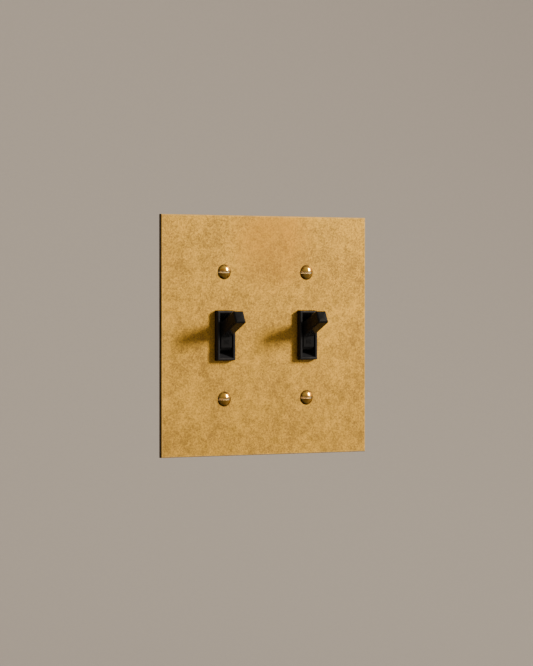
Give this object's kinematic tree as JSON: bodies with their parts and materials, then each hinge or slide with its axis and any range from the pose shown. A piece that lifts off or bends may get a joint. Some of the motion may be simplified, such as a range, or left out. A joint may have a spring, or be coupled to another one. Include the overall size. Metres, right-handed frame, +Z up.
{
  "type": "toggle light switch",
  "caption": "Two-gang toggle light switch with a flat brass wall plate, black levers and slotted brass screws, for turning wall lights on and off",
  "frame": {"origin": "the middle of the wall plate's back face, on the wall's surface", "axes": "+Y goes into the wall, -Y faces the room, +X is right as seen from the room, +Z is up"},
  "size_m": [0.1142, 0.0426, 0.1142],
  "materials": {
    "plate_brass": "aged satin",
    "screw_brass": "polished",
    "terminal_brass": "satin",
    "terminal_screw_brass": "bright",
    "zinc_steel": "zinc plated",
    "rivet_steel": "satin",
    "spring_steel": "bright",
    "contact_silver": "silver alloy",
    "black_phenolic": "gloss",
    "lever_plastic": "gloss",
    "brown_phenolic": "satin",
    "bumper_rubber": "matt",
    "retainer_fibre": "matt fibre",
    "ground_green": "green dyed zinc"
  },
  "bodies": {
    "fixed": {"base_left": "brown_phenolic", "base_right": "brown_phenolic", "box_screw_bottom_left": "zinc_steel", "box_screw_bottom_right": "zinc_steel", "box_screw_top_left": "zinc_steel", "box_screw_top_right": "zinc_steel", "bumper_bottom_left": "bumper_rubber", "bumper_bottom_right": "bumper_rubber", "bumper_top_left": "bumper_rubber", "bumper_top_right": "bumper_rubber", "common_clamp_left": "zinc_steel", "common_clamp_right": "zinc_steel", "common_screw_left": "terminal_screw_brass", "common_screw_right": "terminal_screw_brass", "common_terminal_left": "terminal_brass", "common_terminal_right": "terminal_brass", "cover_left": "black_phenolic", "cover_right": "black_phenolic", "fixed_contact_left": "contact_silver", "fixed_contact_right": "contact_silver", "ground_screw_left": "ground_green", "ground_screw_right": "ground_green", "load_clamp_left": "zinc_steel", "load_clamp_right": "zinc_steel", "load_screw_left": "terminal_screw_brass", "load_screw_right": "terminal_screw_brass", "load_terminal_left": "terminal_brass", "load_terminal_right": "terminal_brass", "plate_screw_bottom_left": "screw_brass", "plate_screw_bottom_right": "screw_brass", "plate_screw_top_left": "screw_brass", "plate_screw_top_right": "screw_brass", "rivet_bottom_left": "rivet_steel", "rivet_bottom_right": "rivet_steel", "rivet_top_left": "rivet_steel", "rivet_top_right": "rivet_steel", "screw_retainer_bottom_left": "retainer_fibre", "screw_retainer_bottom_right": "retainer_fibre", "screw_retainer_top_left": "retainer_fibre", "screw_retainer_top_right": "retainer_fibre", "strap_left": "zinc_steel", "strap_right": "zinc_steel", "wall_plate": "plate_brass"},
    "lever_left": {"lever_left": "lever_plastic", "lever_spring_left": "spring_steel"},
    "rocker_left": {"rocker_left": "terminal_brass", "moving_contact_left": "contact_silver"},
    "lever_right": {"lever_right": "lever_plastic", "lever_spring_right": "spring_steel"},
    "rocker_right": {"rocker_right": "terminal_brass", "moving_contact_right": "contact_silver"}
  },
  "joints": [
    {"name": "lever_left_swing", "type": "hinge", "parent": "fixed", "child": "lever_left", "pos_m": [-0.02302, 0.0023, 0], "axis": [1, 0, 0], "range_deg": [0, 51], "deforming": ["lever_spring_left"]},
    {"name": "rocker_left_tip", "type": "hinge", "parent": "fixed", "child": "rocker_left", "pos_m": [-0.02302, 0.0132, 0], "axis": [1, 0, 0], "range_deg": [-20, 0]},
    {"name": "lever_right_swing", "type": "hinge", "parent": "fixed", "child": "lever_right", "pos_m": [0.02302, 0.0023, 0], "axis": [1, 0, 0], "range_deg": [0, 51], "deforming": ["lever_spring_right"]},
    {"name": "rocker_right_tip", "type": "hinge", "parent": "fixed", "child": "rocker_right", "pos_m": [0.02302, 0.0132, 0], "axis": [1, 0, 0], "range_deg": [-20, 0]}
  ],
  "couplings": [
    {"joint": "rocker_left_tip", "follows": "lever_left_swing", "ratio": -0.392},
    {"joint": "rocker_right_tip", "follows": "lever_right_swing", "ratio": -0.392}
  ]
}
